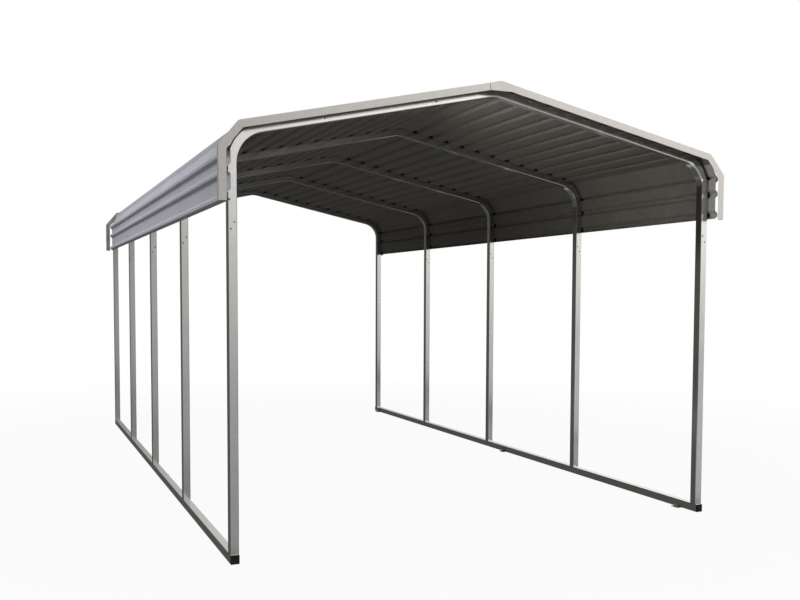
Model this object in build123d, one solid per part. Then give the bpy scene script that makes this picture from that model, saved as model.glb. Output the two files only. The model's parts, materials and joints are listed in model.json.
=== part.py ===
from build123d import *
import math
import os

os.makedirs("parts", exist_ok=True)

# An open carport of bent square steel tube under ribbed steel sheet. Millimetres.
# X runs across the width, Y along the length with the front at -Y, Z up.
# The origin is on the ground, in the middle of the plan.

# Driving dimensions: the tube frame
FRAME_WIDTH = 3657.6        # outside of the left posts to outside of the right posts
FRAME_SPACING = 1524.0      # centre of one frame to centre of the next
FRAME_COUNT = 5
TUBE = 57.15                # outside of the square tube
TUBE_WALL = 1.9
TUBE_CORNER = 3.5           # the rolled corner of the tube, as a flat across it
BEND_INSIDE = 200.0         # inside radius of the knee and ridge bends
ROOF_PITCH = 12.0           # degrees from level
ROOF_APEX = 3030.0          # height at which the two upper tube faces would meet
KNEE_LEG = 423.0            # straight part of the knee below its bend
KNEE_REACH = 1213.0         # centre line to the joint between knee and roof bow
NIPPLE = 110.0              # length of the reduced end that slides into the next tube
SLIP_FIT = 0.2              # clearance on each side of a reduced end
RAIL_END = 6.0              # base rail beyond the outer face of the end posts

# Driving dimensions: rail end caps and ground anchors
CAP_PLATE = 4.0
CAP_CORNER = 3.0
CAP_SPIGOT = 18.0
CAP_WALL = 2.5
CAP_FIT = 0.15
ANCHOR_FRAMES = (0, 2, 4)   # numbers of the frames with an anchor nearby
ANCHOR_BEHIND = (151.0, -357.0, -105.0)     # from the middle of each such frame to the rear
ANCHOR_LENGTH = 72.0
ANCHOR_FOOT = 40.0
ANCHOR_LEG = 44.0
ANCHOR_PLATE = 3.0
ANCHOR_HEAD_FLATS = 24.0
ANCHOR_HEAD_HEIGHT = 12.0
ANCHOR_WASHER = 19.0        # radius
ANCHOR_WASHER_THICK = 2.5

# Driving dimensions: sheets and ridge cap
SHEET = 0.5                 # steel thickness
RIB_PITCH = 152.4
RIB_HEIGHT = 22.0           # underside of the crest above the tube
RIB_FOOT = 58.0
RIB_CREST = 24.0
FIRST_RIB = 144.0           # ridge to the first rib, along the slope
RIB_ROOM = 20.0             # flat kept between the last roof rib and the knee strip's fold
LOWER_SHEET_RIBS = 7
RIDGE_GAP = 20.0            # ridge to the upper edge of the upper sheets
SIDE_DROP = 434.0           # eave corner down to the lower edge of the side sheets
SIDE_RIBS = 2
KNEE_DROP = 114.0           # eave corner down to the knee sheet's lower fold
KNEE_LEAN = 29.2            # knee strip, degrees from upright
DRIP_FOOT = 98.6            # up the knee strip from its lower fold to the foot of the drip edge
DRIP_LEAN = 8.0             # drip edge of the lower roof sheet, degrees from upright
DRIP_GAP = 0.3              # foot of the drip edge to the knee strip under it
LAP_LIP = 9.0               # flat lip beyond a lap
OVERHANG = 76.2             # sheet beyond the outer face of the end posts
CAP_WING = 176.0            # ridge to the lower edge of the ridge cap, along the slope
CAP_HEM = 8.0

# Driving dimensions: gable trim
TRIM = 1.0                  # steel thickness
TRIM_FACE = 46.5            # outer edge to inner edge
TRIM_HEM = 10.0             # inner edge of the face, folded back behind it
TRIM_HEM_GAP = 0.6          # between the face and its hem
TRIM_FLANGE = 38.0          # top flange, over the ribs
TRIM_GAP = 0.8              # end of the sheets to the hem
TRIM_STANDOFF = 74.0        # outer face of a post to the outer edge of the upright trim
TRIM_DROP = 440.0           # eave corner down to the foot of the trim
TRIM_KNEE_DROP = 115.0      # eave corner down to the point where the upright turns into the knee
TRIM_KNEE_IN = 126.0        # outer edge to the point where the knee turns into the slope
PEAK_TRIM_REACH = 84.5      # centre line to the end of the peak piece

# Worked out from these
PITCH = math.radians(ROOF_PITCH)
HALF_WIDTH = FRAME_WIDTH / 2
POST_X = HALF_WIDTH - TUBE / 2
POST_INSIDE = HALF_WIDTH - TUBE
FRAME_RUN = FRAME_SPACING * (FRAME_COUNT - 1) + TUBE
FRONT = -FRAME_RUN / 2
BEND_RADIUS = BEND_INSIDE + TUBE / 2
SLEEVE = TUBE - 2 * TUBE_WALL - 2 * SLIP_FIT
BORE = SLEEVE - 2 * TUBE_WALL
SHEET_LENGTH = FRAME_RUN + 2 * OVERHANG
TRIM_PLANE = FRONT - OVERHANG - TRIM_GAP - TRIM - TRIM_HEM_GAP
CREST_TOP = RIB_HEIGHT + SHEET
EAVE_CORNER = ROOF_APEX - math.tan(PITCH) * HALF_WIDTH
BEND_BACK = BEND_RADIUS * math.tan((math.pi / 2 - PITCH) / 2)
BEND_START = EAVE_CORNER - TUBE / 2 * (1 / math.cos(PITCH) - math.tan(PITCH)) - BEND_BACK
POST_TOP = BEND_START - KNEE_LEG
KNEE_RIB_TOP = EAVE_CORNER - KNEE_DROP
SIDE_BOTTOM = EAVE_CORNER - SIDE_DROP
LEAN = math.radians(KNEE_LEAN)
KNEE_CLIMB = KNEE_DROP / (math.cos(LEAN) - math.tan(PITCH) * math.sin(LEAN))
KNEE_FOLD_RUN = (HALF_WIDTH - KNEE_CLIMB * math.sin(LEAN)) / math.cos(PITCH)
LAST_RIB_RUN = KNEE_FOLD_RUN - RIB_ROOM - RIB_FOOT / 2
ROOF_RIBS = int((LAST_RIB_RUN - FIRST_RIB) / RIB_PITCH) + 1
TRIM_OUTSIDE = HALF_WIDTH + TRIM_STANDOFF


def frame_y(index):
    """Middle of frame number index, counted from the front."""
    return FRONT + TUBE / 2 + index * FRAME_SPACING


def slope_z(x, lift=0.0):
    """Height over x of the line that lies lift above the upper tube face, square to it."""
    return ROOF_APEX + lift / math.cos(PITCH) - math.tan(PITCH) * x


def slope_point(run, lift=0.0):
    """Point run down the slope from the ridge and lift above the upper tube face."""
    x = run * math.cos(PITCH) + lift * math.sin(PITCH)
    z = ROOF_APEX - run * math.sin(PITCH) + lift * math.cos(PITCH)
    return (x, z)


def side_point(height, lift=0.0):
    """Point at this height and lift outside the outer face of the posts."""
    return (HALF_WIDTH + lift, height)


# Square tube
def square(side, corner):
    """Square face with a flat across each corner."""
    return chamfer(Rectangle(side, side).vertices(), corner)


def tube_section(plane, outside=TUBE, corner=TUBE_CORNER):
    """Square ring: a tube cut across, on the given plane."""
    outer = square(outside, corner)
    inner = Rectangle(outside - 2 * TUBE_WALL, outside - 2 * TUBE_WALL)
    return plane * (outer - inner)


def straight_tube(start, direction, length, outside=TUBE, corner=TUBE_CORNER):
    """Straight tube from start, along direction, its flats square to Y."""
    plane = Plane(origin=start, x_dir=(0, 1, 0), z_dir=direction)
    return extrude(tube_section(plane, outside, corner), amount=length)


def bent_tube(points, y):
    """Tube swept along a route in the XZ plane, with a bend at each inner point."""
    path = FilletPolyline(*[(x, y, z) for x, z in points], radius=BEND_RADIUS)
    plane = Plane(origin=path @ 0, x_dir=(0, 1, 0), z_dir=path % 0)
    return sweep(tube_section(plane), path=path)


def nipple(start, direction):
    """Reduced tube end that fills the next tube but for the slip fit, on a shoulder in the bore."""
    back = tuple(place - TUBE_WALL * part for place, part in zip(start, direction))
    shoulder = extrude(
        Plane(origin=back, x_dir=(0, 1, 0), z_dir=direction)
        * (Rectangle(TUBE - TUBE_WALL, TUBE - TUBE_WALL) - Rectangle(BORE, BORE)),
        amount=TUBE_WALL,
    )
    return shoulder + straight_tube(start, direction, NIPPLE, SLEEVE, TUBE_CORNER - TUBE_WALL)


def centre_slope(x):
    """Point of the tube's middle line over x, on the right slope."""
    return (x, slope_z(x, -TUBE / 2))


def make_post(side, y):
    """Post over the rail's stub, with the reduced top end that the knee slides over."""
    foot = (side * POST_X, y, TUBE)
    top = (side * POST_X, y, POST_TOP)
    return straight_tube(foot, (0, 0, 1), POST_TOP - TUBE) + nipple(top, (0, 0, 1))


def make_knee(side, y):
    """Bent tube from the post up round the eave to the roof bow's joint."""
    joint = centre_slope(KNEE_REACH)
    corner = centre_slope(POST_X)
    points = [(POST_X, POST_TOP), corner, joint]
    return bent_tube([(side * x, z) for x, z in points], y)


def make_roof_bow(y):
    """Tube over the ridge between the two knees, with a reduced end in each knee."""
    end = centre_slope(KNEE_REACH)
    apex = centre_slope(0)
    bow = bent_tube([(-end[0], end[1]), apex, end], y)
    for side in (-1, 1):
        start = (side * end[0], y, end[1])
        bow += nipple(start, (side * math.cos(PITCH), 0, -math.sin(PITCH)))
    return bow


def make_rail(side):
    """Base rail with one upright stub for each post."""
    start = (side * POST_X, FRONT - RAIL_END, TUBE / 2)
    section = tube_section(Plane(origin=start, x_dir=(1, 0, 0), z_dir=(0, 1, 0)))
    rail = extrude(section, amount=FRAME_RUN + 2 * RAIL_END)
    for index in range(FRAME_COUNT):
        rail += nipple((side * POST_X, frame_y(index), TUBE), (0, 0, 1))
    return rail


# Rail end caps
def make_end_cap(side, end):
    """Plastic plug in one rail end: a plate with a softened rim and a hollow spigot."""
    spigot = TUBE - 2 * TUBE_WALL - 2 * CAP_FIT
    face = (side * POST_X, end * (FRAME_RUN / 2 + RAIL_END), TUBE / 2)
    out = Plane(origin=face, x_dir=(1, 0, 0), z_dir=(0, end, 0))
    plate = extrude(out * square(TUBE, CAP_CORNER), amount=CAP_PLATE)
    rim = plate.faces().sort_by(Axis.Y)[-1 if end > 0 else 0].edges()
    plate = chamfer(rim, CAP_PLATE / 3)
    ring = out * (Rectangle(spigot, spigot) - Rectangle(spigot - 2 * CAP_WALL, spigot - 2 * CAP_WALL))
    return plate + extrude(ring, amount=-CAP_SPIGOT)


# Ground anchors
def make_anchor(side, y):
    """Angle bracket on the rail's inner face, with the head of the ground spike in its foot."""
    wall = POST_INSIDE
    profile = Polyline(
        (wall, 0),
        (wall, ANCHOR_LEG),
        (wall - ANCHOR_PLATE, ANCHOR_LEG),
        (wall - ANCHOR_PLATE, ANCHOR_PLATE),
        (wall - ANCHOR_FOOT, ANCHOR_PLATE),
        (wall - ANCHOR_FOOT, 0),
        close=True,
    )
    plane = Plane(origin=(0, y - ANCHOR_LENGTH / 2, 0), x_dir=(1, 0, 0), z_dir=(0, -1, 0))
    bracket = extrude(plane * make_face(profile), amount=-ANCHOR_LENGTH)
    spike = wall - (ANCHOR_FOOT + ANCHOR_PLATE) / 2
    seat = Plane(origin=(spike, y, ANCHOR_PLATE))
    bracket += extrude(seat * Circle(ANCHOR_WASHER * 0.9), amount=ANCHOR_WASHER_THICK)
    head = Plane(origin=(spike, y, ANCHOR_PLATE + ANCHOR_WASHER_THICK))
    hexagon = RegularPolygon(ANCHOR_HEAD_FLATS / 2, 6, major_radius=False)
    bracket += extrude(head * hexagon, amount=ANCHOR_HEAD_HEIGHT)
    return bracket if side > 0 else mirror(bracket, about=Plane.YZ)


# Ribbed sheet
def offset_line(points, distance):
    """Copy of an open line moved sideways to its left, with mitred corners."""
    normals = []
    for (x0, z0), (x1, z1) in zip(points, points[1:]):
        length = math.hypot(x1 - x0, z1 - z0)
        normals.append(((z0 - z1) / length, (x1 - x0) / length))
    moved = []
    for index, (x, z) in enumerate(points):
        before = normals[max(index - 1, 0)]
        after = normals[min(index, len(normals) - 1)]
        share = 1 + before[0] * after[0] + before[1] * after[1]
        shift_x = (before[0] + after[0]) / share
        shift_z = (before[1] + after[1]) / share
        moved.append((x + distance * shift_x, z + distance * shift_z))
    return moved


def bent_sheet(points, thickness, length, side, middle=0.0):
    """Sheet folded along a line of points, thickened to its left and extruded along Y."""
    outline = Polyline(*points, *reversed(offset_line(points, thickness)), close=True)
    plane = Plane(origin=(0, middle - length / 2, 0), x_dir=(1, 0, 0), z_dir=(0, -1, 0))
    sheet = extrude(plane * make_face(outline), amount=-length)
    return sheet if side > 0 else mirror(sheet, about=Plane.YZ)


def rib(place, centre, up=1):
    """Four corners of a rib. place turns (run, lift) into a point, up is the way it is walked."""
    foot = up * RIB_FOOT / 2
    crest = up * RIB_CREST / 2
    return [
        place(centre - foot),
        place(centre - crest, RIB_HEIGHT),
        place(centre + crest, RIB_HEIGHT),
        place(centre + foot),
    ]


def roof_rib(number):
    """Distance of a rib from the ridge, along the slope."""
    return FIRST_RIB + RIB_PITCH * number


def over_rib(number):
    """Lowermost rib of a sheet, walked up the slope, with a lip on the sheet below."""
    centre = roof_rib(number)
    return [
        slope_point(centre + RIB_FOOT / 2 + LAP_LIP, SHEET),
        slope_point(centre + RIB_FOOT / 2, SHEET),
        slope_point(centre + RIB_CREST / 2, RIB_HEIGHT),
        slope_point(centre - RIB_CREST / 2, RIB_HEIGHT),
        slope_point(centre - RIB_FOOT / 2, 0.0),
    ]


def under_rib(number):
    """Uppermost rib of a sheet, nested in the rib above it and cut off at the end of its crest."""
    nested = offset_line(over_rib(number)[:4], SHEET)
    return nested[1:]


def roof_ribs(first, last):
    """Ribs numbered first down to last, walked up the slope."""
    points = []
    for number in range(first, last - 1, -1):
        points += rib(slope_point, roof_rib(number), up=-1)
    return points


def make_side_sheet(side):
    """Upright strip on the knees' legs: two ribs and a plain upper edge under the knee sheet."""
    centre = SIDE_BOTTOM + RIB_FOOT / 2
    points = []
    for number in range(SIDE_RIBS):
        points += rib(side_point, centre + number * RIB_PITCH)
    points.append(side_point(KNEE_RIB_TOP - RIB_FOOT / 2))
    return bent_sheet(points[::-1], SHEET, SHEET_LENGTH, side)


def up_to_slope(point, lean, lift=0.0):
    """Point where a line leaning in by lean, up from this point, meets the slope at this lift."""
    x, z = point
    climb = (slope_z(x, lift) - z) / (math.cos(lean) - math.tan(PITCH) * math.sin(lean))
    return (x - climb * math.sin(lean), z + climb * math.cos(lean))


def make_knee_sheet(side):
    """Eave strip: a rib over the side sheet, the leaning knee, and a rib under the roof sheet."""
    centre = KNEE_RIB_TOP - RIB_FOOT / 2
    points = [
        side_point(centre - RIB_FOOT / 2 - LAP_LIP, SHEET),
        side_point(centre - RIB_FOOT / 2, SHEET),
        side_point(centre - RIB_CREST / 2, RIB_HEIGHT),
        side_point(centre + RIB_CREST / 2, RIB_HEIGHT),
        side_point(KNEE_RIB_TOP),
        up_to_slope(side_point(KNEE_RIB_TOP), LEAN),
    ]
    points += under_rib(ROOF_RIBS - 1)
    return bent_sheet(points[::-1], SHEET, SHEET_LENGTH, side)


def drip_edge():
    """Edge of the roof turned down over the knee strip: its foot, then its fold on the slope."""
    off = SHEET + DRIP_GAP
    foot = (
        HALF_WIDTH - DRIP_FOOT * math.sin(LEAN) + off * math.cos(LEAN),
        KNEE_RIB_TOP + DRIP_FOOT * math.cos(LEAN) + off * math.sin(LEAN),
    )
    return [foot, up_to_slope(foot, math.radians(DRIP_LEAN), SHEET)]


def make_lower_roof_sheet(side):
    """Roof sheet from the drip edge, over the knee sheet's rib, up to the rib under the upper sheet."""
    top = ROOF_RIBS - LOWER_SHEET_RIBS
    points = drip_edge() + over_rib(ROOF_RIBS - 1)[1:]
    points += roof_ribs(ROOF_RIBS - 2, top + 1) + under_rib(top)
    return bent_sheet(points[::-1], SHEET, SHEET_LENGTH, side)


def make_upper_roof_sheet(side):
    """Roof sheet from the lap up to its cut edge beside the ridge."""
    top = ROOF_RIBS - LOWER_SHEET_RIBS
    points = over_rib(top) + roof_ribs(top - 1, 0) + [slope_point(RIDGE_GAP)]
    return bent_sheet(points[::-1], SHEET, SHEET_LENGTH, side)


def make_ridge_cap():
    """Cap folded at the ridge, resting on the first rib of each slope between the trims."""
    hem = slope_point(CAP_WING, CREST_TOP - CAP_HEM)
    edge = slope_point(CAP_WING, CREST_TOP)
    apex = (0.0, slope_z(0.0, CREST_TOP))
    points = [(-hem[0], hem[1]), (-edge[0], edge[1]), apex, edge, hem]
    length = SHEET_LENGTH - 2 * (TRIM_FLANGE - (FRONT - OVERHANG - TRIM_PLANE) + TRIM)
    return bent_sheet(points, SHEET, length, 1)


# Gable trim
def make_side_trim(side, end):
    """Angle trim from the foot of the side sheets, round the knee and up to the ridge."""
    outer = TRIM_OUTSIDE - TRIM
    foot = EAVE_CORNER - TRIM_DROP
    turn = TRIM_OUTSIDE - TRIM_KNEE_IN
    route = Polyline(
        (outer, TRIM_PLANE, foot),
        (outer, TRIM_PLANE, EAVE_CORNER - TRIM_KNEE_DROP),
        (turn, TRIM_PLANE, slope_z(turn, CREST_TOP)),
        (0, TRIM_PLANE, slope_z(0, CREST_TOP)),
    )
    inner = TRIM - TRIM_FACE
    line = [
        (0, TRIM_FLANGE),
        (0, 0),
        (inner, 0),
        (inner, TRIM_HEM_GAP),
        (inner + TRIM_HEM, TRIM_HEM_GAP),
    ]
    section = make_face(Polyline(*line, *reversed(offset_line(line, TRIM)), close=True))
    plane = Plane(origin=(outer, TRIM_PLANE, foot), x_dir=(1, 0, 0), z_dir=(0, 0, 1))
    trim = sweep(plane * section, path=route, transition=Transition.RIGHT)
    reach = 2 * outer
    trim = trim & Pos(reach / 2 + TRIM, 0, 0) * Box(reach, 3 * FRAME_RUN, 3 * ROOF_APEX)
    if side < 0:
        trim = mirror(trim, about=Plane.YZ)
    return trim if end < 0 else mirror(trim, about=Plane.XZ)


def make_peak_trim(end):
    """Peak piece lapped over the front and top of both side trims, cut level along its lower edge."""
    under = CREST_TOP + TRIM
    low = slope_z(PEAK_TRIM_REACH, under - TRIM_FACE)
    corner = slope_z(PEAK_TRIM_REACH, under)
    slope = [(-PEAK_TRIM_REACH, corner), (0, slope_z(0, under)), (PEAK_TRIM_REACH, corner)]
    outline = Polyline((-PEAK_TRIM_REACH, low), *slope, (PEAK_TRIM_REACH, low), close=True)
    front = Plane(origin=(0, TRIM_PLANE - TRIM, 0), x_dir=(1, 0, 0), z_dir=(0, -1, 0))
    piece = extrude(front * make_face(outline), amount=TRIM)
    depth = TRIM_FLANGE + 2 * TRIM
    piece += bent_sheet(slope, TRIM, depth, 1, TRIM_PLANE - 2 * TRIM + depth / 2)
    return piece if end < 0 else mirror(piece, about=Plane.XZ)


# Every node by name
def build():
    """All nodes of the carport, by name."""
    nodes = {}
    for side, hand in ((-1, "left"), (1, "right")):
        nodes[f"base_rail_{hand}"] = make_rail(side)
        places = zip(ANCHOR_FRAMES, ANCHOR_BEHIND)
        anchors = [make_anchor(side, frame_y(index) + behind) for index, behind in places]
        nodes[f"anchors_{hand}"] = Compound(children=anchors)
        for index in range(FRAME_COUNT):
            nodes[f"post_{hand}_{index + 1}"] = make_post(side, frame_y(index))
            nodes[f"knee_{hand}_{index + 1}"] = make_knee(side, frame_y(index))
        nodes[f"side_sheet_{hand}"] = make_side_sheet(side)
        nodes[f"knee_sheet_{hand}"] = make_knee_sheet(side)
        nodes[f"roof_sheet_lower_{hand}"] = make_lower_roof_sheet(side)
        nodes[f"roof_sheet_upper_{hand}"] = make_upper_roof_sheet(side)
        nodes[f"front_trim_{hand}"] = make_side_trim(side, -1)
        nodes[f"rear_trim_{hand}"] = make_side_trim(side, 1)
    caps = [make_end_cap(side, end) for side in (-1, 1) for end in (-1, 1)]
    nodes["rail_end_caps"] = Compound(children=caps)
    for index in range(FRAME_COUNT):
        nodes[f"roof_bow_{index + 1}"] = make_roof_bow(frame_y(index))
    nodes["ridge_cap"] = make_ridge_cap()
    nodes["front_trim_peak"] = make_peak_trim(-1)
    nodes["rear_trim_peak"] = make_peak_trim(1)
    return nodes


for name, shape in build().items():
    export_step(shape, f"parts/{name}.step")
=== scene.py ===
import bpy
import json
import math
import numpy as np
from mathutils import Euler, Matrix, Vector


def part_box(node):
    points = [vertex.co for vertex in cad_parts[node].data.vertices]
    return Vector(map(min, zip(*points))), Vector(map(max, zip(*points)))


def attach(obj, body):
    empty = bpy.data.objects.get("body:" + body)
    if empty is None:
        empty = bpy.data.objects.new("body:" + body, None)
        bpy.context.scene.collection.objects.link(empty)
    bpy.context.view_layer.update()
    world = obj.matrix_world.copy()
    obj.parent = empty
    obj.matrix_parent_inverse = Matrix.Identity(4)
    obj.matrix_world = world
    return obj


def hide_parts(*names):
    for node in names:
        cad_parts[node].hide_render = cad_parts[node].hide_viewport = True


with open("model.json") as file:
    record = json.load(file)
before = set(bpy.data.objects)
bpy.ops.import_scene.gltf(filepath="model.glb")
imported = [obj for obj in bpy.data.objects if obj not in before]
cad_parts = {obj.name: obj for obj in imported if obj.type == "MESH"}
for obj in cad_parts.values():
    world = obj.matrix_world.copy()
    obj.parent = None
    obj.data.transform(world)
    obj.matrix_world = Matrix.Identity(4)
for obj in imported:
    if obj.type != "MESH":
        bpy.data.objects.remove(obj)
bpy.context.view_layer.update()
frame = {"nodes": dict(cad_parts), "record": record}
nodes = frame["nodes"]

# Frames of square tube, in metres
TUBE = 0.05715
ROOF_PITCH = math.radians(12.0)
APEX = 3.030             # height at which the two upper tube faces would meet
FRAME_SPACING = 1.524
FRAME_COUNT = 5
BOW_JOINT = 1.213        # centre line to the joint between knee and roof bow

# Ribbed sheets
SHEET = 0.0005           # steel thickness
RIB_PITCH = 0.1524
RIB_HEIGHT = 0.022       # underside of the crest above the tube
RIB_FOOT = 0.058
RIB_CREST = 0.024
FIRST_RIB = 0.144        # ridge to the first rib, along the slope
ROOF_RIBS = 11           # on each slope
LOWER_SHEET_RIBS = 7
RIDGE_GAP = 0.0015       # ridge to the upper edge of the upper sheets
SIDE_RIBS = 2
SIDE_DROP = 0.434        # eave corner down to the lower edge of the side sheets
KNEE_DROP = 0.114        # eave corner down to the knee sheet's lower fold
KNEE_LEAN = math.radians(29.2)
DRIP_FOOT = 0.0986       # up the knee strip from its lower fold to the foot of the drip edge
DRIP_LEAN = math.radians(3.0)
DRIP_GAP = 0.0003        # foot of the drip edge to the knee strip under it
LAP_LIP = 0.009          # flat lip beyond a lap
FOOT_RADIUS = 0.009
CREST_RADIUS = 0.012
CREASE_RADIUS = 0.004
FOLD_STEPS = 7           # points on the arc of each fold
SHEET_STATIONS = 43      # rows of points along a sheet
FLAT_SWELL = 0.0003      # rise of a flat midway between two frames
SWELL_STEP = 0.37        # phase of the swell from one point of the profile to the next
SWELL_DRIFT = 1.7        # and over a metre along the sheet

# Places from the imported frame
HALF_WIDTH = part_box("post_right_1")[1].x
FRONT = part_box("post_right_1")[0].y
POST_X = HALF_WIDTH - TUBE / 2
EAVE_CORNER = APEX - math.tan(ROOF_PITCH) * HALF_WIDTH
KNEE_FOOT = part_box("knee_right_1")[0].z


def frame_y(number):
    """Middle of a tube frame: the front face, half a tube and whole spacings behind it."""
    return FRONT + TUBE / 2 + number * FRAME_SPACING


# Meshes worked out with numpy
def make_mesh(name, points, quads, smooth_angle=35.0, marks=None):
    """Mesh object from rows of points and rows of four corners, smooth below the given angle."""
    mesh = bpy.data.meshes.new(name)
    points = np.asarray(points, np.float32)
    quads = np.asarray(quads, np.int32)
    mesh.vertices.add(len(points))
    mesh.vertices.foreach_set("co", points.ravel())
    mesh.loops.add(quads.size)
    mesh.loops.foreach_set("vertex_index", quads.ravel())
    mesh.polygons.add(len(quads))
    mesh.polygons.foreach_set("loop_start", np.arange(len(quads), dtype=np.int32) * 4)
    mesh.polygons.foreach_set("use_smooth", np.ones(len(quads), bool))
    if marks is not None:
        mesh.polygons.foreach_set("material_index", np.asarray(marks, np.int32))
    mesh.update(calc_edges=True)
    mesh.validate()
    mesh.set_sharp_from_angle(angle=math.radians(smooth_angle))
    piece = bpy.data.objects.new(name, mesh)
    bpy.context.scene.collection.objects.link(piece)
    return piece


def round_folds(corners, radii, steps=FOLD_STEPS):
    """Line with an arc at each inner corner.

    A point of the arc is start + r (sin a d + (1 - cos a) n), where d is the run into the
    corner and n the normal of that run on the inside of the turn.
    """
    corners = np.asarray(corners, float)
    radius = np.asarray(radii, float)[:, None]
    runs = np.diff(corners, axis=0)
    runs /= np.linalg.norm(runs, axis=1)[:, None]
    before, after = runs[:-1], runs[1:]
    cross = before[:, 0] * after[:, 1] - before[:, 1] * after[:, 0]
    turn = np.arctan2(cross, (before * after).sum(axis=1))
    normal = np.stack((-before[:, 1], before[:, 0]), axis=1) * np.sign(turn)[:, None]
    start = corners[1:-1] - before * radius * np.tan(np.abs(turn) / 2)[:, None]
    angle = np.linspace(0, 1, steps)[None, :, None] * np.abs(turn)[:, None, None]
    sweep = np.sin(angle) * before[:, None] + (1 - np.cos(angle)) * normal[:, None]
    arcs = start[:, None] + radius[:, None] * sweep
    return np.concatenate((corners[:1], arcs.reshape(-1, 2), corners[-1:]))


def offset_line(line, distance):
    """Line moved sideways to its left: each point goes along the mitre of its two normals."""
    runs = np.diff(line, axis=0)
    runs /= np.linalg.norm(runs, axis=1)[:, None]
    left = np.stack((-runs[:, 1], runs[:, 0]), axis=1)
    before = np.concatenate((left[:1], left))
    after = np.concatenate((left, left[-1:]))
    mitre = (before + after) / (1 + (before * after).sum(axis=1))[:, None]
    return line + distance * mitre


# Profiles of the sheets, drawn for the right side
def slope_point(run, lift=0.0):
    """Point run down the right slope from the ridge and lift above the upper tube face."""
    x = run * math.cos(ROOF_PITCH) + lift * math.sin(ROOF_PITCH)
    z = APEX - run * math.sin(ROOF_PITCH) + lift * math.cos(ROOF_PITCH)
    return (x, z)


def side_point(height, lift=0.0):
    """Point at this height and lift outside the outer face of the right posts."""
    return (HALF_WIDTH + lift, height)


def up_to_slope(point, lean, lift=0.0):
    """Point where a line leaning in by lean, up from this point, meets the slope at this lift."""
    x, z = point
    over = APEX + lift / math.cos(ROOF_PITCH) - math.tan(ROOF_PITCH) * x - z
    climb = over / (math.cos(lean) - math.tan(ROOF_PITCH) * math.sin(lean))
    return (x - climb * math.sin(lean), z + climb * math.cos(lean))


def bend(point, radius):
    """Corner of a profile with the radius of its fold."""
    return (*point, radius)


def rib(place, centre, down=1):
    """Four corners of one rib: foot, crest, crest, foot, along the way it is walked."""
    foot, crest = down * RIB_FOOT / 2, down * RIB_CREST / 2
    return [
        bend(place(centre - foot), FOOT_RADIUS),
        bend(place(centre - crest, RIB_HEIGHT), CREST_RADIUS),
        bend(place(centre + crest, RIB_HEIGHT), CREST_RADIUS),
        bend(place(centre + foot), FOOT_RADIUS),
    ]


def roof_rib(number):
    """Distance of a rib's middle from the ridge: the first one and whole pitches."""
    return FIRST_RIB + RIB_PITCH * number


def over_rib(number):
    """Lapping rib, walked down the slope, with its lip on the sheet below."""
    centre = roof_rib(number)
    return [
        bend(slope_point(centre - RIB_FOOT / 2), FOOT_RADIUS),
        bend(slope_point(centre - RIB_CREST / 2, RIB_HEIGHT), CREST_RADIUS),
        bend(slope_point(centre + RIB_CREST / 2, RIB_HEIGHT), CREST_RADIUS),
        bend(slope_point(centre + RIB_FOOT / 2, SHEET), FOOT_RADIUS),
        bend(slope_point(centre + RIB_FOOT / 2 + LAP_LIP, SHEET), 0.0),
    ]


def under_rib(number):
    """Lapped rib, nested one thickness below the lapping one, from its crest's upper end."""
    over = np.array(over_rib(number)[1:])
    nested = offset_line(over[:, :2], -SHEET)
    return [bend(point, radius) for point, radius in zip(nested[:-1], over[:-1, 2])]


def upper_roof_profile():
    """Inner line of the upper roof sheet, from beside the ridge down to the lap."""
    top = ROOF_RIBS - LOWER_SHEET_RIBS
    line = [bend(slope_point(RIDGE_GAP), 0.0)]
    for number in range(top):
        line += rib(slope_point, roof_rib(number))
    return line + over_rib(top)


def drip_edge():
    """Edge of the roof turned down over the knee strip: its fold on the slope, then its foot."""
    off = SHEET + DRIP_GAP
    foot = (
        HALF_WIDTH - DRIP_FOOT * math.sin(KNEE_LEAN) + off * math.cos(KNEE_LEAN),
        EAVE_CORNER - KNEE_DROP + DRIP_FOOT * math.cos(KNEE_LEAN) + off * math.sin(KNEE_LEAN),
    )
    return [bend(up_to_slope(foot, DRIP_LEAN, SHEET), CREASE_RADIUS), bend(foot, 0.0)]


def lower_roof_profile():
    """Inner line of the lower roof sheet, from the lapped rib to the drip edge over the knee sheet."""
    top = ROOF_RIBS - LOWER_SHEET_RIBS
    line = under_rib(top)
    for number in range(top + 1, ROOF_RIBS - 1):
        line += rib(slope_point, roof_rib(number))
    return line + over_rib(ROOF_RIBS - 1)[:-1] + drip_edge()


def knee_profile():
    """Inner line of the knee sheet: lapped rib, flat, leaning strip and the rib over the side sheet."""
    low = side_point(EAVE_CORNER - KNEE_DROP)
    centre = EAVE_CORNER - KNEE_DROP - RIB_FOOT / 2
    return under_rib(ROOF_RIBS - 1) + [
        bend(up_to_slope(low, KNEE_LEAN), CREASE_RADIUS),
        bend(low, FOOT_RADIUS),
        bend(side_point(centre + RIB_CREST / 2, RIB_HEIGHT), CREST_RADIUS),
        bend(side_point(centre - RIB_CREST / 2, RIB_HEIGHT), CREST_RADIUS),
        bend(side_point(centre - RIB_FOOT / 2, SHEET), FOOT_RADIUS),
        bend(side_point(centre - RIB_FOOT / 2 - LAP_LIP, SHEET), 0.0),
    ]


def side_profile():
    """Inner line of the side sheet, from its plain upper edge down over its ribs."""
    bottom = EAVE_CORNER - SIDE_DROP
    line = [bend(side_point(EAVE_CORNER - KNEE_DROP - RIB_FOOT / 2), 0.0)]
    for number in reversed(range(SIDE_RIBS)):
        line += rib(side_point, bottom + RIB_FOOT / 2 + number * RIB_PITCH, down=-1)
    return line


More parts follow.
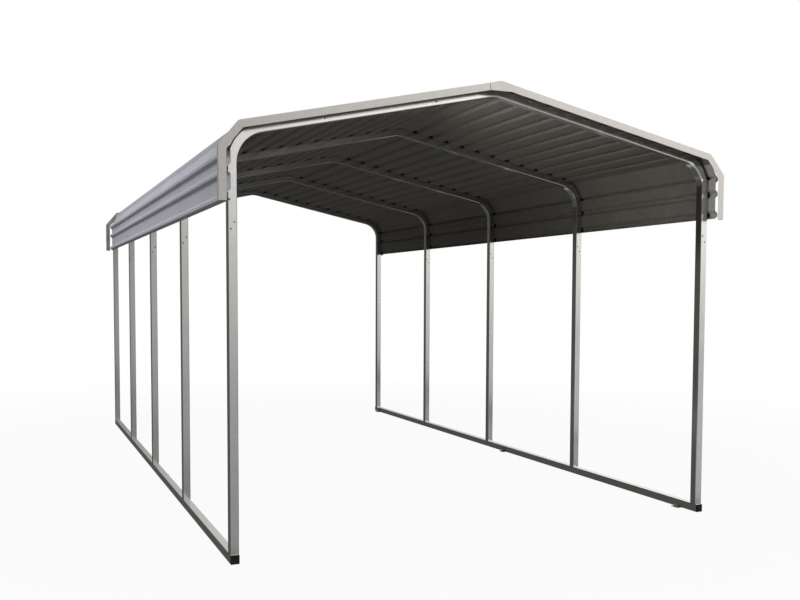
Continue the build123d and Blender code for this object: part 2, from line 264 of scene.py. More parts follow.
def sheet_piece(name, node, profile, side):
    """Ribbed sheet: the folded profile, doubled by its thickness to the outside, carried along Y.

    Its flats swell by FLAT_SWELL (1 - cos 2 pi y / spacing) / 2 between the frames, as rolled
    sheet does, by a share that changes slowly round the profile. The first material shows
    outside, the second inside.
    """
    profile = np.array(profile)
    inner = round_folds(profile[:, :2], profile[1:-1, 2])
    outer = offset_line(inner, SHEET)
    low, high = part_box(node)
    along = np.linspace(low.y, high.y, SHEET_STATIONS)
    count = len(inner)
    loop = np.concatenate((outer, inner[::-1]))
    lift = np.concatenate((outer - inner, (outer - inner)[::-1])) / SHEET
    phase = np.concatenate((np.arange(count), np.arange(count)[::-1])) * SWELL_STEP
    middle = 0.5 - 0.5 * np.cos(2 * np.pi * (along - frame_y(0)) / FRAME_SPACING)
    share = 0.5 + 0.5 * np.sin(phase[None, :] + SWELL_DRIFT * along[:, None])
    swell = FLAT_SWELL * middle[:, None] * share
    flat = loop[None, :, :] + lift[None, :, :] * swell[:, :, None]
    points = np.empty((SHEET_STATIONS, 2 * count, 3))
    points[..., 0] = side * flat[..., 0]
    points[..., 1] = along[:, None]
    points[..., 2] = flat[..., 1]
    ring = np.arange(2 * count)
    start = (np.arange(SHEET_STATIONS - 1) * 2 * count)[:, None]
    here = ring[None, :] + start
    beside = np.roll(ring, -1)[None, :] + start
    skin = np.stack((here, here + 2 * count, beside + 2 * count, beside), axis=2).reshape(-1, 4)
    step = np.arange(count - 1)
    front = np.stack((step, step + 1, 2 * count - 2 - step, 2 * count - 1 - step), axis=1)
    rear = front[:, ::-1] + (SHEET_STATIONS - 1) * 2 * count
    faces = np.concatenate((skin, front, rear))
    inside = np.concatenate((np.tile(ring >= count, SHEET_STATIONS - 1), np.zeros(2 * len(front), bool)))
    # as walked the faces point outwards on the left, where x is mirrored
    if side > 0:
        faces = faces[:, ::-1]
    piece = make_mesh(name, points.reshape(-1, 3), faces, marks=inside)
    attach(piece, "root")
    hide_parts(node)
    return piece


# Shader helpers
def new_material(name):
    """Empty material with an output and a Principled shader joined to it."""
    material = bpy.data.materials.new(name)
    material.use_nodes = True
    tree = material.node_tree
    tree.nodes.clear()
    output = tree.nodes.new("ShaderNodeOutputMaterial")
    shader = tree.nodes.new("ShaderNodeBsdfPrincipled")
    tree.links.new(shader.outputs["BSDF"], output.inputs["Surface"])
    return material, tree, shader


def new_group(name, inputs, outputs):
    """Shader node group with named sockets, each given as (name, socket type, default)."""
    group = bpy.data.node_groups.new(name, "ShaderNodeTree")
    for socket, kind, value in inputs:
        made = group.interface.new_socket(socket, in_out="INPUT", socket_type=kind)
        if value is not None:
            made.default_value = value
    for socket, kind in outputs:
        group.interface.new_socket(socket, in_out="OUTPUT", socket_type=kind)
    return group, group.nodes.new("NodeGroupInput"), group.nodes.new("NodeGroupOutput")


def math_node(tree, operation, a, b=None):
    """Math node on values or sockets. Returns its output."""
    node = tree.nodes.new("ShaderNodeMath")
    node.operation = operation
    for slot, value in enumerate((a, b)):
        if value is None:
            continue
        if isinstance(value, (int, float)):
            node.inputs[slot].default_value = value
        else:
            tree.links.new(value, node.inputs[slot])
    return node.outputs[0]


def remap(tree, value, low, high, to_low, to_high):
    """Map Range node from low..high to to_low..to_high, clamped."""
    node = tree.nodes.new("ShaderNodeMapRange")
    tree.links.new(value, node.inputs["Value"])
    sockets = ("From Min", "From Max", "To Min", "To Max")
    for socket, number in zip(sockets, (low, high, to_low, to_high)):
        node.inputs[socket].default_value = number
    return node.outputs["Result"]


def mix_colour(tree, share, first, second):
    """Colour mix of two colours or sockets by a share socket."""
    node = tree.nodes.new("ShaderNodeMix")
    node.data_type = "RGBA"
    tree.links.new(share, node.inputs["Factor"])
    for socket, value in ((node.inputs["A"], first), (node.inputs["B"], second)):
        if isinstance(value, tuple):
            socket.default_value = (*value, 1.0)
        else:
            tree.links.new(value, socket)
    return node.outputs["Result"]


def noise(tree, coordinates, scale, detail=3.0, roughness=0.55):
    """Noise texture on the given coordinates. Returns its value."""
    node = tree.nodes.new("ShaderNodeTexNoise")
    node.inputs["Scale"].default_value = scale
    node.inputs["Detail"].default_value = detail
    node.inputs["Roughness"].default_value = roughness
    tree.links.new(coordinates, node.inputs["Vector"])
    return node.outputs["Fac"]


def object_place(tree):
    """Object coordinates of the shaded point."""
    return tree.nodes.new("ShaderNodeTexCoord").outputs["Object"]


# Finishes
def make_zinc_group():
    """Zinc coating: crystals of slightly different tone, clouds of dulling and fine drawn lines.

    Gives a tone, a dulling and a height. Draw stretches the lines along a piece.
    """
    group, given, result = new_group(
        "zinc_coating",
        (
            ("Vector", "NodeSocketVector", None),
            ("Crystal Size", "NodeSocketFloat", 60.0),
            ("Draw", "NodeSocketVector", (1.0, 1.0, 1.0)),
        ),
        (("Tone", "NodeSocketFloat"), ("Dull", "NodeSocketFloat"), ("Height", "NodeSocketFloat")),
    )
    crystals = group.nodes.new("ShaderNodeTexVoronoi")
    group.links.new(given.outputs["Vector"], crystals.inputs["Vector"])
    group.links.new(given.outputs["Crystal Size"], crystals.inputs["Scale"])
    split = group.nodes.new("ShaderNodeSeparateColor")
    group.links.new(crystals.outputs["Color"], split.inputs["Color"])
    drawn = group.nodes.new("ShaderNodeVectorMath")
    drawn.operation = "MULTIPLY"
    group.links.new(given.outputs["Vector"], drawn.inputs[0])
    group.links.new(given.outputs["Draw"], drawn.inputs[1])
    lines = noise(group, drawn.outputs["Vector"], 90.0, 2.0)
    clouds = noise(group, given.outputs["Vector"], 2.2, 5.0, 0.6)
    crystal_tone = math_node(group, "MULTIPLY", split.outputs["Red"], 0.35)
    cloud_tone = math_node(group, "MULTIPLY", clouds, 0.65)
    crystal_height = math_node(group, "MULTIPLY", split.outputs["Green"], 0.3)
    group.links.new(math_node(group, "ADD", crystal_tone, cloud_tone), result.inputs["Tone"])
    group.links.new(remap(group, clouds, 0.35, 0.7, 0.0, 1.0), result.inputs["Dull"])
    group.links.new(math_node(group, "ADD", lines, crystal_height), result.inputs["Height"])
    return group


ZINC = make_zinc_group()


def add_bump(tree, shader, height, strength, distance):
    """Bump of the given height on the shader's normal."""
    bump = tree.nodes.new("ShaderNodeBump")
    bump.inputs["Strength"].default_value = strength
    bump.inputs["Distance"].default_value = distance
    tree.links.new(height, bump.inputs["Height"])
    tree.links.new(bump.outputs["Normal"], shader.inputs["Normal"])


def zinc_finish(name, bright, dark, rough, dull_rough, crystal, draw, bump, metallic, specular=0.5):
    """Zinc-coated steel: the coating's tone moves the colour, its dulling the roughness."""
    material, tree, shader = new_material(name)
    coat = tree.nodes.new("ShaderNodeGroup")
    coat.node_tree = ZINC
    tree.links.new(object_place(tree), coat.inputs["Vector"])
    coat.inputs["Crystal Size"].default_value = crystal
    coat.inputs["Draw"].default_value = draw
    tone = remap(tree, coat.outputs["Tone"], 0.25, 0.75, 0.0, 1.0)
    dulling = remap(tree, coat.outputs["Dull"], 0.0, 1.0, rough, dull_rough)
    tree.links.new(mix_colour(tree, tone, dark, bright), shader.inputs["Base Color"])
    tree.links.new(dulling, shader.inputs["Roughness"])
    add_bump(tree, shader, coat.outputs["Height"], bump, 0.0004)
    shader.inputs["Metallic"].default_value = metallic
    shader.inputs["Specular IOR Level"].default_value = specular
    return material


TUBE_FINISH = zinc_finish(
    "galvanised_tube",
    bright=(0.67, 0.665, 0.65),
    dark=(0.62, 0.615, 0.60),
    rough=0.17,
    dull_rough=0.23,
    crystal=55.0,
    draw=(6.0, 6.0, 0.4),
    bump=0.015,
    metallic=1.0,
)
SHEET_FINISH = zinc_finish(
    "sheet_outer_face",
    bright=(0.54, 0.54, 0.575),
    dark=(0.47, 0.47, 0.505),
    rough=0.38,
    dull_rough=0.48,
    crystal=70.0,
    draw=(6.0, 0.3, 6.0),
    bump=0.10,
    metallic=0.15,
    specular=0.3,
)
# Back of the sheets: a duller back coat, its colour darkened further as painted shade on the undersides
SHEET_BACK = zinc_finish(
    "sheet_back_coat",
    bright=(0.25, 0.238, 0.212),
    dark=(0.21, 0.20, 0.178),
    rough=0.55,
    dull_rough=0.68,
    crystal=40.0,
    draw=(6.0, 0.3, 6.0),
    bump=0.08,
    metallic=0.0,
    specular=0.15,
)
TRIM_FINISH = zinc_finish(
    "gable_trim",
    bright=(0.67, 0.655, 0.631),
    dark=(0.61, 0.596, 0.575),
    rough=0.34,
    dull_rough=0.44,
    crystal=60.0,
    draw=(3.0, 3.0, 3.0),
    bump=0.08,
    metallic=0.5,
)
SCREW_FINISH = zinc_finish(
    "screw_zinc",
    bright=(0.50, 0.49, 0.47),
    dark=(0.40, 0.39, 0.375),
    rough=0.40,
    dull_rough=0.60,
    crystal=260.0,
    draw=(2.0, 2.0, 2.0),
    bump=0.2,
    metallic=0.7,
)
ANCHOR_FINISH = zinc_finish(
    "zinc_plated_steel",
    bright=(0.56, 0.56, 0.54),
    dark=(0.40, 0.40, 0.385),
    rough=0.40,
    dull_rough=0.62,
    crystal=180.0,
    draw=(2.0, 2.0, 2.0),
    bump=0.2,
    metallic=0.6,
)

# Painted shade in the hollows of the ribs where they pass over a tube, and painted light beyond the end
# frames
# painted shade: near-black colour in the rib hollows over the tubes
HOLLOW_COLOUR = (0.012, 0.0115, 0.011)
HOLLOW_SHARE = 0.92
HOLLOW_LIFT = (0.003, 0.010)     # over the tubes: where the shade begins and is full
HOLLOW_FRONT = 0.008             # behind a frame's front face: full shade
HOLLOW_BACK = (0.09, 0.15)       # behind a frame's front face: shade begins to fade, is gone
OVERHANG_LIGHT_COLOUR = (0.60, 0.60, 0.60)  # painted light on the side's back beyond the end frames, pale grey
OVERHANG_LIGHT_SHARE = 0.9
OVERHANG_LIGHT_FADE = (-0.01, 0.02)         # beyond the end frames' outer faces


def paint_hollow_shade_and_overhang_light(material):
    """Painted shade in rib hollows over the tubes, and painted light on the sides' backs beyond the end
    frames.

    It follows a point's lift over the tubes' outer faces and its way back from the front
    face of the nearest frame in front of it.
    """
    tree = material.node_tree
    shader = next(node for node in tree.nodes if node.type == "BSDF_PRINCIPLED")
    parts = tree.nodes.new("ShaderNodeSeparateXYZ")
    tree.links.new(object_place(tree), parts.inputs["Vector"])
    out = math_node(tree, "ABSOLUTE", parts.outputs["X"])
    fall = math_node(tree, "MULTIPLY", out, math.tan(ROOF_PITCH))
    over = math_node(tree, "SUBTRACT", math_node(tree, "ADD", parts.outputs["Z"], fall), APEX)
    roof_lift = math_node(tree, "MULTIPLY", over, math.cos(ROOF_PITCH))
    side_lift = math_node(tree, "SUBTRACT", out, HALF_WIDTH)
    lift = math_node(tree, "MAXIMUM", roof_lift, side_lift)
    behind = math_node(tree, "SUBTRACT", parts.outputs["Y"], FRONT)
    back = math_node(tree, "FLOORED_MODULO", behind, FRAME_SPACING)
    inside = math_node(
        tree,
        "MULTIPLY",
        remap(tree, back, 0.0, HOLLOW_FRONT, 0.0, 1.0),
        remap(tree, back, *HOLLOW_BACK, 1.0, 0.0),
    )
    # painted shade in the rib hollows, behind each frame's front face
    hollow = math_node(tree, "MULTIPLY", inside, remap(tree, lift, *HOLLOW_LIFT, 0.0, HOLLOW_SHARE))
    colour = shader.inputs["Base Color"].links[0].from_socket
    side = math_node(tree, "GREATER_THAN", side_lift, roof_lift)
    along = math_node(tree, "ABSOLUTE", parts.outputs["Y"])
    end = remap(tree, along, -FRONT + OVERHANG_LIGHT_FADE[0], -FRONT + OVERHANG_LIGHT_FADE[1], 0.0, OVERHANG_LIGHT_SHARE)
    # painted light: the sides' backs beyond the end frames turn pale, as if lit from the front
    lit_overhang = mix_colour(tree, math_node(tree, "MULTIPLY", side, end), colour, OVERHANG_LIGHT_COLOUR)
    tree.links.new(mix_colour(tree, hollow, lit_overhang, HOLLOW_COLOUR), shader.inputs["Base Color"])


# painted shade in the rib hollows and painted light beyond the end frames, on the sheets' back
paint_hollow_shade_and_overhang_light(SHEET_BACK)


def plastic_finish(name):
    """Moulded black plastic with a fine grain and a slightly greyer bloom in places."""
    material, tree, shader = new_material(name)
    place = object_place(tree)
    bloom = remap(tree, noise(tree, place, 30.0), 0.4, 0.7, 0.0, 1.0)
    colour = mix_colour(tree, bloom, (0.012, 0.012, 0.012), (0.028, 0.027, 0.026))
    tree.links.new(colour, shader.inputs["Base Color"])
    tree.links.new(remap(tree, bloom, 0.0, 1.0, 0.5, 0.65), shader.inputs["Roughness"])
    add_bump(tree, shader, noise(tree, place, 900.0), 0.15, 0.0003)
    shader.inputs["Specular IOR Level"].default_value = 0.15
    return material


CAP_FINISH = plastic_finish("black_plastic")
FINISHES = {
    "galvanised_tube": TUBE_FINISH,
    "roof_sheet": SHEET_FINISH,
    "gable_trim": TRIM_FINISH,
    "zinc_plated_steel": ANCHOR_FINISH,
    "black_plastic": CAP_FINISH,
}

for row in frame["record"]["subparts"]:
    slots = nodes[row["node"]].data.materials
    slots.clear()
    slots.append(FINISHES[row["material_slot"]])

# The ribbed sheets
PROFILES = {
    "roof_sheet_upper": upper_roof_profile(),
    "roof_sheet_lower": lower_roof_profile(),
    "knee_sheet": knee_profile(),
    "side_sheet": side_profile(),
}
for side, hand in ((-1, "left"), (1, "right")):
    for kind, profile in PROFILES.items():
        sheet = sheet_piece(f"ribbed_{kind}_{hand}", f"{kind}_{hand}", profile, side)
        sheet.data.materials.append(SHEET_FINISH)
        sheet.data.materials.append(SHEET_BACK)

# Screws. A head's rings from the washer up: radius, height, and 1 where the ring is a hexagon
HEAD_RINGS = (
    (0.0070, 0.0, 0),
    (0.0070, 0.0009, 0),
    (0.0062, 0.0014, 0),
    (0.0046, 0.0014, 1),
    (0.0046, 0.0042, 1),
    (0.0038, 0.0047, 1),
)
ROUND_POINTS = 12                # points on each ring of a screw or bead
KNEE_SCREWS = ((-0.012, 0.074), (0.010, 0.031))     # off the post's middle, over the knee's foot
BOW_SCREWS = ((BOW_JOINT, 0.004), (0.439, 0.006))   # off the centre line, below the face's middle
SCREW_OFF_RIB = 0.014            # foot of a rib to the screw beside it
UPPER_WALL_SCREW = 0.020         # foot of a rib to the side sheet's upper row
CAP_SCREW_RUN = 0.144            # ridge to the ridge cap's screws, along the slope


def ring_faces(rings):
    """Quads between stacked rings, closed at both ends on a middle point.

    The two middle points follow the last ring: the foot's, then the tip's.
    """
    step = np.arange(ROUND_POINTS)
    after = (step + 1) % ROUND_POINTS
    low = (np.arange(rings - 1) * ROUND_POINTS)[:, None]
    high = low + ROUND_POINTS
    walls = np.stack((low + step, low + after, high + after, high + step), axis=2)
    even = step[::2]
    beyond = (even + 2) % ROUND_POINTS
    top = (rings - 1) * ROUND_POINTS
    foot = np.full(len(even), rings * ROUND_POINTS)
    tip = foot + 1
    crown = np.stack((tip, top + even, top + even + 1, top + beyond), axis=1)
    sole = np.stack((foot, beyond, even + 1, even), axis=1)
    return np.concatenate((walls.reshape(-1, 4), crown, sole))


def screws(name, spots, facings, finish):
    """Hexagon-head screws with round washers.

    Each is rings of points r (cos a, sin a) at height h over its spot, square to its facing.
    A hexagon's r is shortened by cos 30 deg at mid-side.
    """
    spots = np.asarray(spots, float)
    facings = np.asarray(facings, float)
    radius, height, hexagon = np.array(HEAD_RINGS).T
    angle = np.arange(ROUND_POINTS) * 2 * np.pi / ROUND_POINTS
    flat_side = np.where(np.arange(ROUND_POINTS) % 2 == 1, np.cos(np.pi / 6), 1.0)
    reach = radius[:, None] * np.where(hexagon[:, None] == 1, flat_side[None, :], 1.0)
    heights = np.repeat(height[:, None], ROUND_POINTS, 1)
    ring = np.stack((reach * np.cos(angle), reach * np.sin(angle), heights), axis=2)
    ends = np.array([(0.0, 0.0, height[0]), (0.0, 0.0, height[-1])])
    shape = np.concatenate((ring.reshape(-1, 3), ends))
    across = np.cross(facings, (0.0, 1.0, 0.0))
    along_y = np.linalg.norm(across, axis=1) < 0.5
    across[along_y] = (1.0, 0.0, 0.0)
    across /= np.linalg.norm(across, axis=1)[:, None]
    up = np.cross(facings, across)
    points = (
        spots[:, None, :]
        + shape[None, :, 0:1] * across[:, None, :]
        + shape[None, :, 1:2] * up[:, None, :]
        + shape[None, :, 2:3] * facings[:, None, :]
    )
    first = (np.arange(len(spots)) * len(shape))[:, None, None]
    faces = ring_faces(len(HEAD_RINGS))[None] + first
    piece = make_mesh(name, points.reshape(-1, 3), faces.reshape(-1, 4))
    piece.data.materials.append(finish)
    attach(piece, "root")


def tube_face_middle(x):
    """Height of the middle of a bow's front face over x."""
    return APEX - math.tan(ROOF_PITCH) * abs(x) - TUBE / 2 / math.cos(ROOF_PITCH)


# On the frames: the slip joints and the bows
joint_places = [(POST_X + off, KNEE_FOOT + rise) for off, rise in KNEE_SCREWS]
joint_places += [(x, tube_face_middle(x) - drop) for x, drop in BOW_SCREWS]
joint_spots, joint_facings = [], []
for number in range(FRAME_COUNT):
    outward = 1 if number == FRAME_COUNT - 1 else -1
    face = frame_y(number) + outward * TUBE / 2
    for x, z in joint_places:
        joint_spots += [(-x, face, z), (x, face, z)]
        joint_facings += [(0.0, float(outward), 0.0)] * 2
screws("frame_screws", joint_spots, joint_facings, SCREW_FINISH)

# On the sheets: beside each rib over each frame, and along the ridge cap
roof_runs = [roof_rib(number) + RIB_FOOT / 2 + SCREW_OFF_RIB for number in range(1, ROOF_RIBS)]
lowest_rib_top = EAVE_CORNER - SIDE_DROP + RIB_FOOT
wall_heights = [lowest_rib_top + SCREW_OFF_RIB, lowest_rib_top + RIB_PITCH + UPPER_WALL_SCREW]
for side, hand in ((-1, "left"), (1, "right")):
    spots, facings = [], []
    slope_facing = (side * math.sin(ROOF_PITCH), 0.0, math.cos(ROOF_PITCH))
    for number in range(FRAME_COUNT):
        for run in roof_runs:
            x, z = slope_point(run, SHEET)
            spots.append((side * x, frame_y(number), z))
            facings.append(slope_facing)
        for z in wall_heights:
            spots.append((side * (HALF_WIDTH + SHEET), frame_y(number), z))
            facings.append((side, 0.0, 0.0))
    x, z = slope_point(CAP_SCREW_RUN, RIB_HEIGHT + 2 * SHEET)
    for y in np.linspace(frame_y(0), frame_y(FRAME_COUNT - 1), 2 * FRAME_COUNT - 1):
        spots.append((side * x, y, z))
        facings.append(slope_facing)
    screws(f"sheet_screws_{hand}", spots, facings, SHEET_FINISH)

# Dark bead in the seam between the peak trim and the slope's trim: painted shadow of the peak trim's
# proud edge
SEAM_HALF_WIDTH = 0.0011
SEAM_DEPTH = 0.0009
SEAM_SUNK = 0.0010               # face of the trim to the bead's middle
SEAM_TAPER = 0.0015              # length of its tapered ends
SEAM_END = 0.35                  # share of the bead's size left at an end
SEAM_BELOW_EDGE = 0.0015         # upper edge of the trim to the bead's top
SEAM_LENGTH = 0.0455


def seam_shadow_bead(name, x, back, top):
    """Upright dark bead, tapered at both ends: a painted shadow at the seam.

    It is an ellipse (x + a cos t, back + b sin t) carried down from its top.
    """
    low = top - SEAM_LENGTH
    angle = np.arange(ROUND_POINTS) * 2 * np.pi / ROUND_POINTS
    heights = np.array((low, low + SEAM_TAPER, top - SEAM_TAPER, top))
    size = np.array((SEAM_END, 1.0, 1.0, SEAM_END))[:, None]
    ring = np.stack(
        (
            x + size * SEAM_HALF_WIDTH * np.cos(angle),
            back + size * SEAM_DEPTH * np.sin(angle),
            np.repeat(heights[:, None], ROUND_POINTS, 1),
        ),
        axis=2,
    )
    points = np.concatenate((ring.reshape(-1, 3), [(x, back, low), (x, back, top)]))
    piece = make_mesh(name, points, ring_faces(len(heights)))
    piece.data.materials.append(CAP_FINISH)
    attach(piece, "root")


# a dark bead at one end of each peak trim, painted shadow of its proud edge
for end, sign, corner in (("front", -1, 0), ("rear", 1, 1)):
    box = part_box(f"{end}_trim_peak")
    x = sign * (box[1].x + SEAM_HALF_WIDTH)
    top = box[1].z - math.tan(ROOF_PITCH) * abs(x) - SEAM_BELOW_EDGE
    seam_shadow_bead(f"{end}_peak_seam", x, box[corner].y - sign * SEAM_SUNK, top)

# Floor. The strengths are those that polished steel sees: a glow of painted light and painted shadow
FLOOR_SIZE = 60.0
FLOOR_DROP = 0.0006              # below the rails
FLOOR_COLOUR = (0.16, 0.155, 0.145, 1.0)
FLOOR_SEEN = 0.95                # whiteness to the camera near the carport
FLOOR_WHITE = (4.0, 9.0)         # from the middle: whitening begins, all white
FLOOR_LIT = 0.38
FLOOR_SHADED = 0.10
FLOOR_BEHIND = 0.05              # behind the carport on the right
APRON_EDGE = (FRONT - 0.4, FRONT - 0.05)
LEFT_EDGE = (-HALF_WIDTH - 0.01, -HALF_WIDTH + 0.04)
LEFT_LANE_END = (-1.4, -1.0)
RIGHT_LANE = (HALF_WIDTH - 0.05, HALF_WIDTH + 0.25, 2.6, 3.2)
LANE_LIGHT = 0.75
LANE_BACK = (2.5, 3.2)
BEHIND_FROM = (3.2, 4.2)
BEHIND_RIGHT_OF = (1.9, 2.4)
RIGHT_GAIN = (5.0, 1.9)          # place on X at which the lit floor is this many times brighter


def lane(tree, value, low, low_full, high_full, high):
    """One between low_full and high_full, falling to zero at low and high."""
    rising = remap(tree, value, low, low_full, 0.0, 1.0)
    return math_node(tree, "MULTIPLY", rising, remap(tree, value, high_full, high, 1.0, 0.0))


def mirrored_floor(tree, x, y):
    """Brightness of the floor in polished steel: painted light and painted shadow in its glow.

    Lit in front and in a lane beside each rail, more to the right. Dim under the roof and to
    the left, and dark behind on the right.
    """
    in_front = math_node(
        tree,
        "MULTIPLY",
        remap(tree, y, *APRON_EDGE, 1.0, 0.0),
        remap(tree, x, *LEFT_EDGE, 0.0, 1.0),
    )
    lanes = math_node(
        tree,
        "MAXIMUM",
        lane(tree, x, *RIGHT_LANE),
        lane(tree, x, *LEFT_EDGE, *LEFT_LANE_END),
    )
    beside = math_node(tree, "MULTIPLY", lanes, remap(tree, y, *LANE_BACK, LANE_LIGHT, 0.0))
    lit_place = math_node(tree, "MAXIMUM", in_front, beside)
    apron = math_node(tree, "MULTIPLY", lit_place, FLOOR_LIT - FLOOR_SHADED)
    gain = remap(tree, x, -HALF_WIDTH, RIGHT_GAIN[0], 1.0, RIGHT_GAIN[1])
    behind = math_node(
        tree,
        "MULTIPLY",
        remap(tree, y, *BEHIND_FROM, 0.0, 1.0),
        remap(tree, x, *BEHIND_RIGHT_OF, 0.0, 1.0),
    )
    ground = remap(tree, behind, 0.0, 1.0, FLOOR_SHADED, FLOOR_BEHIND)
    return math_node(tree, "ADD", math_node(tree, "MULTIPLY", apron, gain), ground)


def studio_floor():
    """Pale floor: nearly white to the camera, all white further out, and graded in polished steel by
    painted light and shade.
    """
    corners = ((-1, -1), (1, -1), (1, 1), (-1, 1))
    points = [(x * FLOOR_SIZE, y * FLOOR_SIZE, -FLOOR_DROP) for x, y in corners]
    floor = make_mesh("studio_floor", points, [(0, 1, 2, 3)])
    material, tree, shader = new_material("floor_paper")
    shader.inputs["Base Color"].default_value = FLOOR_COLOUR
    shader.inputs["Roughness"].default_value = 0.9
    place = object_place(tree)
    away = tree.nodes.new("ShaderNodeVectorMath")
    away.operation = "LENGTH"
    tree.links.new(place, away.inputs[0])
    parts = tree.nodes.new("ShaderNodeSeparateXYZ")
    tree.links.new(place, parts.inputs["Vector"])
    path = tree.nodes.new("ShaderNodeLightPath")
    camera_ray, through_ray = path.outputs["Is Camera Ray"], path.outputs["Is Transmission Ray"]
    direct = math_node(tree, "MAXIMUM", camera_ray, through_ray)
    mirrored = path.outputs["Is Glossy Ray"]
    whiteness = remap(tree, away.outputs["Value"], *FLOOR_WHITE, FLOOR_SEEN, 1.0)
    share = math_node(tree, "MAXIMUM", math_node(tree, "MULTIPLY", direct, whiteness), mirrored)
    lit = mirrored_floor(tree, parts.outputs["X"], parts.outputs["Y"])
    # white for the camera, the floor's painted light and shadow for mirrors
    change = math_node(tree, "MULTIPLY", mirrored, math_node(tree, "SUBTRACT", lit, 1.0))
    glow = tree.nodes.new("ShaderNodeEmission")
    tree.links.new(math_node(tree, "ADD", change, 1.0), glow.inputs["Strength"])
    mixed = tree.nodes.new("ShaderNodeMixShader")
    tree.links.new(share, mixed.inputs["Fac"])
    tree.links.new(shader.outputs["BSDF"], mixed.inputs[1])
    tree.links.new(glow.outputs["Emission"], mixed.inputs[2])
    output = next(node for node in tree.nodes if node.type == "OUTPUT_MATERIAL")
    tree.links.new(mixed.outputs["Shader"], output.inputs["Surface"])
    floor.data.materials.append(material)


# Studio round the carport. Ranges are parts X, Y and Z of a direction of length one
LEFT_SHADE = 0.11                # strength to the left
WALL_LIGHT = 0.57                # added by the wall to the right
WALL_RIGHT = (0.0, 0.25)
RIGHT_EXTRA = 0.27               # added far to the right, warmer
FAR_RIGHT = (0.25, 0.7)
WALL_FRONT = (-0.1, 0.3)         # on Y: front wall, then none
BACK_WALL = 0.7                  # share of the wall behind the carport
BACK_WALL_FOOT = (0.09, 0.16)
WALL_RISE = 2.0                  # times brighter above the horizon
RISE_BAND = (0.0, 0.18)
WALL_TOP = (0.35, 0.65)
CEILING_LIGHT = 0.5
CEILING_BAND = (0.3, 0.9)
WALL_COLOUR = (1.0, 0.99, 0.97, 1.0)
FAR_RIGHT_COLOUR = (1.0, 0.93, 0.84, 1.0)
CEILING_COLOUR = (0.95, 0.965, 1.0, 1.0)
WHITE = (1.0, 1.0, 1.0, 1.0)


def studio_world():
    """Soft studio: dim to the left and low down behind, with a wall that brightens to the right.

    The wall is brightest just above the horizon, and the ceiling is clear. The camera sees white.
    """
    world = bpy.data.worlds.new("studio")
    bpy.context.scene.world = world
    world.use_nodes = True
    tree = world.node_tree
    tree.nodes.clear()
    output = tree.nodes.new("ShaderNodeOutputWorld")
    parts = tree.nodes.new("ShaderNodeSeparateXYZ")
    tree.links.new(tree.nodes.new("ShaderNodeTexCoord").outputs["Generated"], parts.inputs["Vector"])
    x, y, z = parts.outputs["X"], parts.outputs["Y"], parts.outputs["Z"]

    back = remap(tree, z, *BACK_WALL_FOOT, 0.0, BACK_WALL)
    around = math_node(tree, "MAXIMUM", remap(tree, y, *WALL_FRONT, 1.0, 0.0), back)
    rise = math_node(tree, "MULTIPLY", around, remap(tree, z, *RISE_BAND, 1.0, WALL_RISE))
    wall = math_node(tree, "MULTIPLY", rise, remap(tree, z, *WALL_TOP, 1.0, 0.0))
    right_wall = math_node(tree, "MULTIPLY", wall, remap(tree, x, *WALL_RIGHT, 0.0, WALL_LIGHT))
    far_right = math_node(tree, "MULTIPLY", wall, remap(tree, x, *FAR_RIGHT, 0.0, RIGHT_EXTRA))
    lights = (
        (math_node(tree, "ADD", right_wall, LEFT_SHADE), WALL_COLOUR),
        (far_right, FAR_RIGHT_COLOUR),
        (remap(tree, z, *CEILING_BAND, 0.0, CEILING_LIGHT), CEILING_COLOUR),
    )

    total = None
    for strength, colour in lights:
        light = tree.nodes.new("ShaderNodeBackground")
        light.inputs["Color"].default_value = colour
        tree.links.new(strength, light.inputs["Strength"])
        shader = light.outputs["Background"]
        if total is None:
            total = shader
            continue
        added = tree.nodes.new("ShaderNodeAddShader")
        tree.links.new(total, added.inputs[0])
        tree.links.new(shader, added.inputs[1])
        total = added.outputs["Shader"]

    white = tree.nodes.new("ShaderNodeBackground")
    white.inputs["Color"].default_value = WHITE
    path = tree.nodes.new("ShaderNodeLightPath")
    mixed = tree.nodes.new("ShaderNodeMixShader")
    tree.links.new(path.outputs["Is Camera Ray"], mixed.inputs["Fac"])
    tree.links.new(total, mixed.inputs[1])
    tree.links.new(white.outputs["Background"], mixed.inputs[2])
    tree.links.new(mixed.outputs["Shader"], output.inputs["Surface"])


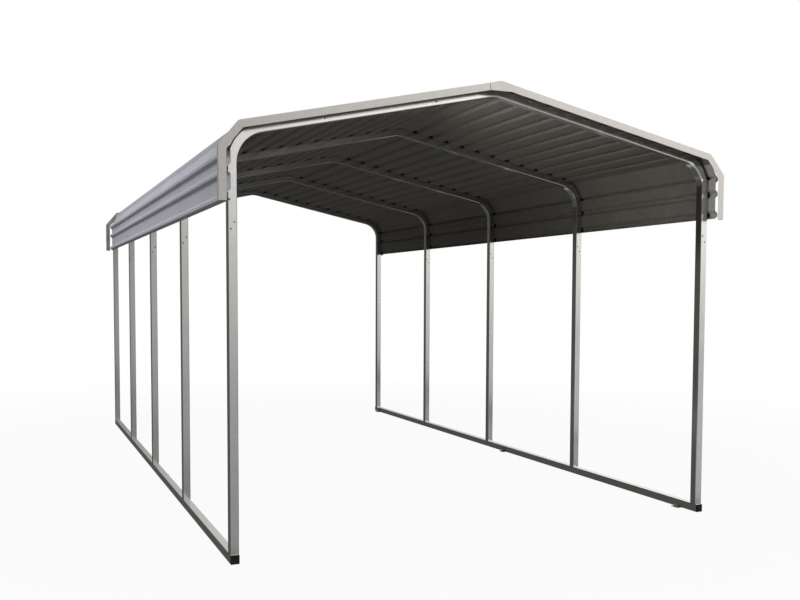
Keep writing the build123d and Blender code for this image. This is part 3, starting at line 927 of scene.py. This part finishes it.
def soft_lamp(name, place, target, size, power, colour):
    """Square area lamp at a place, facing a target."""
    data = bpy.data.lights.new(name, "AREA")
    data.shape = "RECTANGLE"
    data.size, data.size_y = size
    data.energy = power
    data.color = colour
    lamp = bpy.data.objects.new(name, data)
    lamp.location = place
    lamp.rotation_euler = (Vector(target) - Vector(place)).to_track_quat("-Z", "Y").to_euler()
    lamp.visible_camera = False
    bpy.context.scene.collection.objects.link(lamp)
    return lamp


studio_floor()
studio_world()
soft_lamp(
    "key",
    place=(7.3, -6.0, 8.7),
    target=(0.4, -1.5, 1.6),
    size=(1.0, 1.0),
    power=500.0,
    colour=(1.0, 0.94, 0.85),
)
sky = soft_lamp(
    "sky",
    place=(-7.5, 0.5, 8.1),
    target=(-1.8, 0.0, 2.4),
    size=(3.0, 5.0),
    power=690.0,
    colour=(0.94, 0.955, 1.0),
)
sky.visible_glossy = False
inner = soft_lamp(
    "inner_fill",
    place=(-1.2, -2.95, 2.62),
    target=(1.83, -2.7, 2.3),
    size=(0.3, 0.3),
    power=3.6,
    colour=(1.0, 0.99, 0.97),
)
inner.visible_glossy = False
inner.data.spread = math.radians(80)

# The photograph's camera
PHOTO_WIDTH = 800
PHOTO_HEIGHT = 600
FOCAL_PIXELS = 865.65
AXIS_COLUMN = 340.26
AXIS_ROW = 337.67
CAMERA_PLACE = (-3.0581, -8.1821, 1.6474)
CAMERA_TURN = math.radians(20.888)
CAMERA_DOWN = math.radians(2.858)

camera_data = bpy.data.cameras.new("photo_camera")
camera_data.sensor_width = 36.0
camera_data.lens = FOCAL_PIXELS / PHOTO_WIDTH * camera_data.sensor_width
camera_data.shift_x = (PHOTO_WIDTH / 2 - AXIS_COLUMN) / PHOTO_WIDTH
camera_data.shift_y = (AXIS_ROW - PHOTO_HEIGHT / 2) / PHOTO_WIDTH
camera = bpy.data.objects.new("photo_camera", camera_data)
camera.location = CAMERA_PLACE
camera.rotation_euler = Euler((math.pi / 2 - CAMERA_DOWN, 0.0, -CAMERA_TURN), "XYZ")
bpy.context.scene.collection.objects.link(camera)
bpy.context.scene.camera = camera
bpy.context.scene.view_settings.view_transform = "Standard"

bpy.context.view_layer.update()
